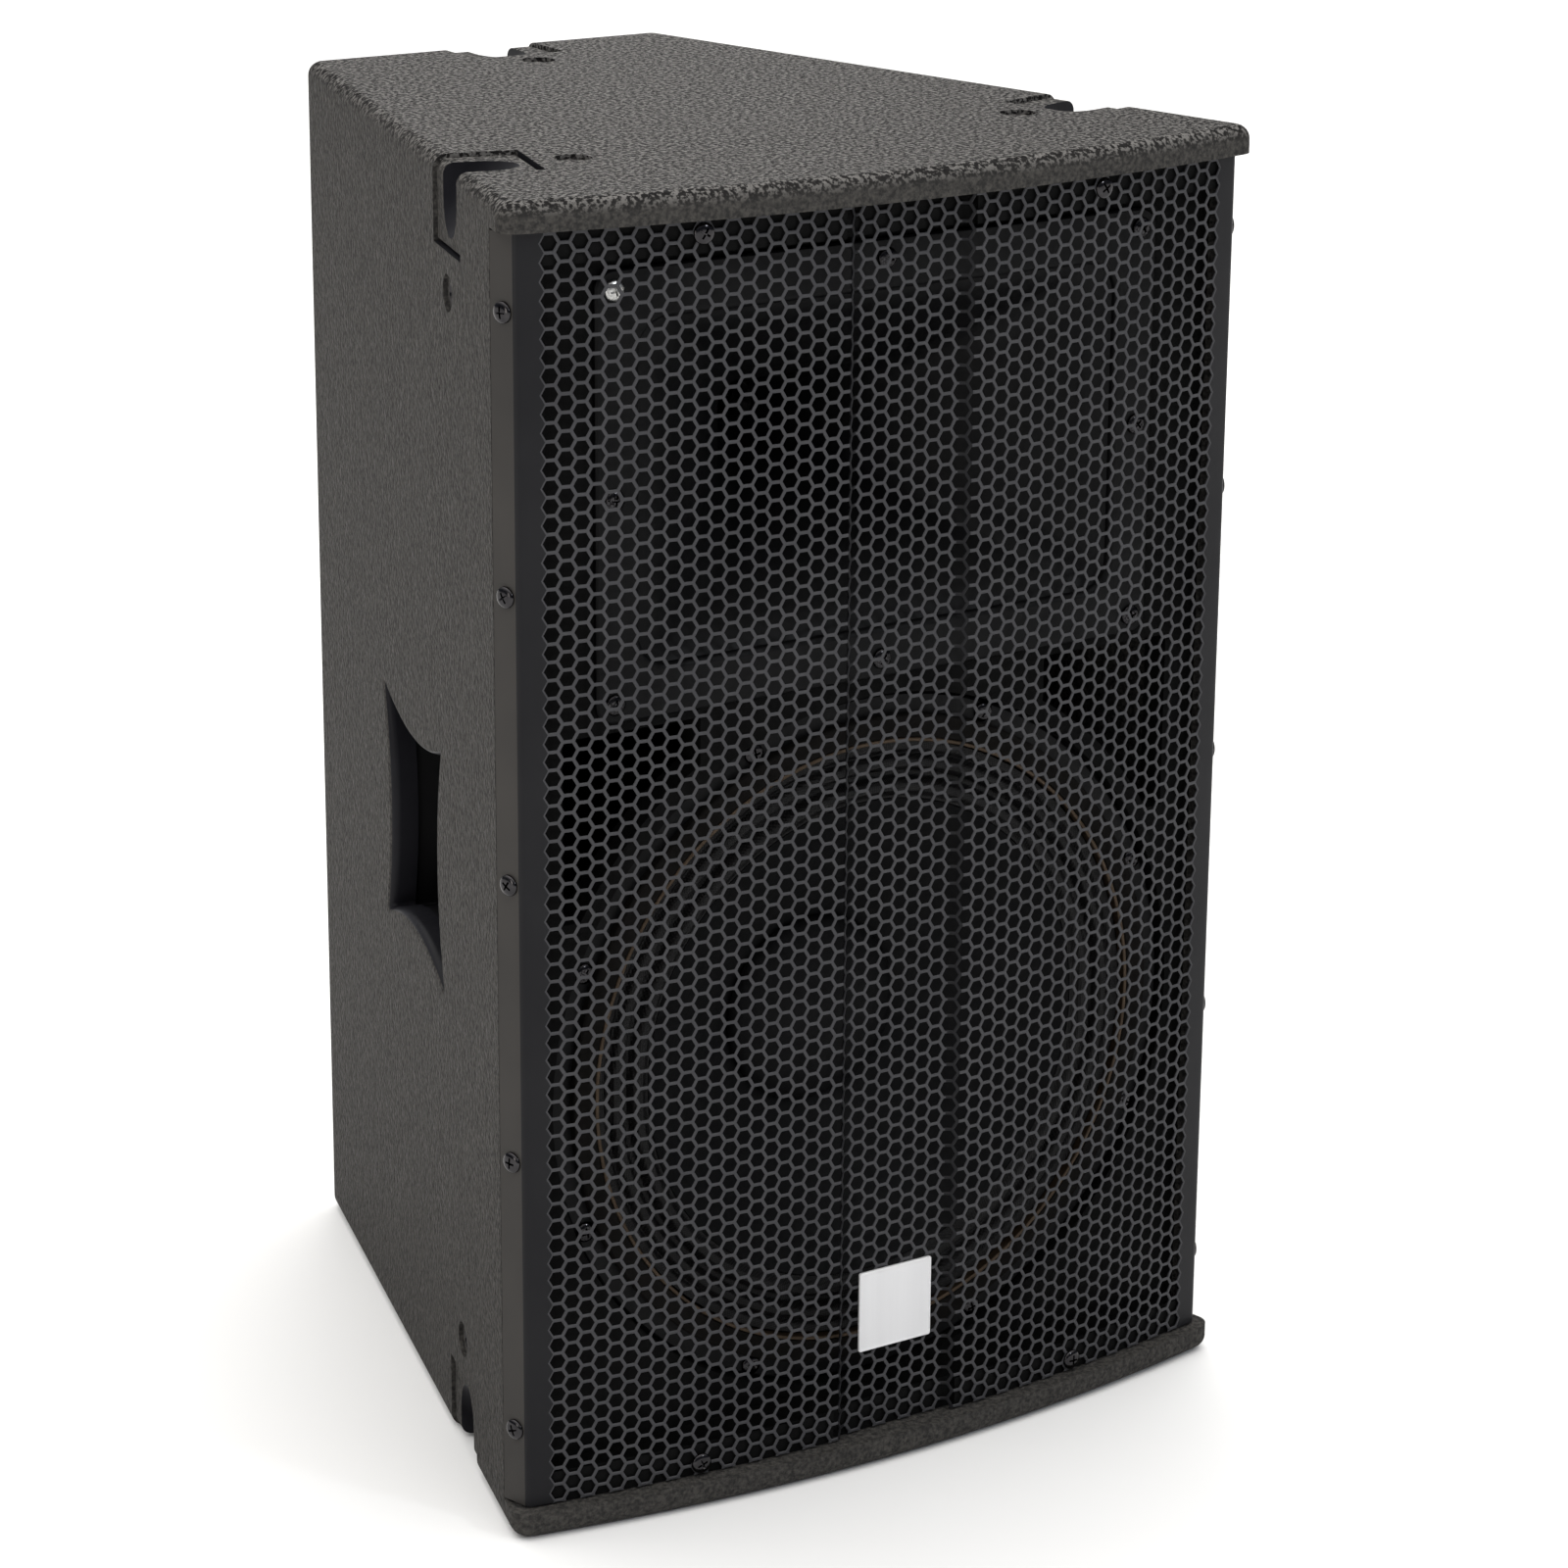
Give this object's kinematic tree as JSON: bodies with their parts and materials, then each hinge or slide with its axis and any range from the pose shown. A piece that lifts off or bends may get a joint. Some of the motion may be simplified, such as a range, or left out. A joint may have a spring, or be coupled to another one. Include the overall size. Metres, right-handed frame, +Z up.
{
  "type": "pa loudspeaker cabinet",
  "caption": "Two-way trapezoid PA loudspeaker: 15-inch woofer and horn behind a bowed perforated steel grille, recessed side handles, rigging corners and a dished rear connector plate.",
  "frame": {"origin": "centre of the footprint's bounding box, on the floor", "axes": "+Z up, the grille faces -Y, +X is to the right seen from the front"},
  "size_m": [0.4452, 0.46, 0.7],
  "materials": {
    "textured_paint": "black textured paint over plywood",
    "painted_board": "flat black paint",
    "powder_coat": "satin black powder coat",
    "badge_metal": "brushed, unmarked",
    "black_screw": "black zinc",
    "zinc_steel": "bright zinc",
    "black_plastic": "moulded, fine texture",
    "cast_frame": "black paint on a pressed frame",
    "gasket": "matt grey-brown",
    "surround_cloth": "coated, slightly glossy",
    "cone_paper": "treated paper fibre",
    "ferrite": "dark ceramic",
    "copper_wire": "enamelled copper",
    "titanium_film": "thin metal film",
    "circuit_board": "fibre board"
  },
  "bodies": {
    "cabinet": {"top_panel": "textured_paint", "bottom_panel": "textured_paint", "side_panel_left": "textured_paint", "side_panel_right": "textured_paint", "rear_panel": "textured_paint", "front_baffle": "painted_board", "grille_batten_top": "painted_board", "grille_batten_bottom": "painted_board", "grille": "powder_coat", "badge": "badge_metal", "grille_screw_left_1": "black_screw", "grille_screw_left_2": "black_screw", "grille_screw_left_3": "black_screw", "grille_screw_left_4": "black_screw", "grille_screw_left_5": "black_screw", "grille_screw_right_1": "black_screw", "grille_screw_right_2": "black_screw", "grille_screw_right_3": "black_screw", "grille_screw_right_4": "black_screw", "grille_screw_right_5": "black_screw", "grille_screw_front_1": "black_screw", "grille_screw_front_2": "black_screw", "grille_screw_front_3": "black_screw", "grille_screw_front_4": "black_screw", "rigging_plate_top_left": "textured_paint", "rigging_bracket_top_left": "zinc_steel", "rigging_plate_top_right": "textured_paint", "rigging_bracket_top_right": "zinc_steel", "rigging_plate_top_rear": "textured_paint", "rigging_bracket_top_rear": "zinc_steel", "rigging_plate_bottom_left": "textured_paint", "rigging_bracket_bottom_left": "zinc_steel", "rigging_plate_bottom_right": "textured_paint", "rigging_bracket_bottom_right": "zinc_steel", "rigging_plate_bottom_rear": "textured_paint", "rigging_bracket_bottom_rear": "zinc_steel", "handle_pocket_left": "black_plastic", "handle_pocket_right": "black_plastic", "woofer_basket": "cast_frame", "woofer_gasket": "gasket", "woofer_surround": "surround_cloth", "woofer_spider": "surround_cloth", "woofer_top_plate": "zinc_steel", "woofer_magnet": "ferrite", "woofer_back_plate": "zinc_steel", "horn": "black_plastic", "hf_driver_magnet": "ferrite", "hf_driver_cap": "zinc_steel", "crossover_board": "circuit_board", "crossover_coil": "copper_wire", "crossover_capacitor": "badge_metal", "connector_plate": "powder_coat", "speaker_socket_a": "black_plastic", "speaker_socket_b": "black_plastic"},
    "woofer_cone_assembly": {"woofer_cone": "cone_paper", "woofer_dust_cap": "cone_paper", "woofer_voice_coil": "copper_wire"},
    "hf_diaphragm_assembly": {"hf_diaphragm": "titanium_film"}
  },
  "joints": [
    {"name": "woofer_excursion", "type": "slide", "parent": "cabinet", "child": "woofer_cone_assembly", "axis": [0, -1, 0], "range_m": [-0.005, 0.005], "stiffness_N_per_m": 2000, "deforming": ["woofer_surround", "woofer_spider"]},
    {"name": "hf_excursion", "type": "slide", "parent": "cabinet", "child": "hf_diaphragm_assembly", "axis": [0, -1, 0], "range_m": [-0.0004, 0.0004], "stiffness_N_per_m": 400}
  ]
}
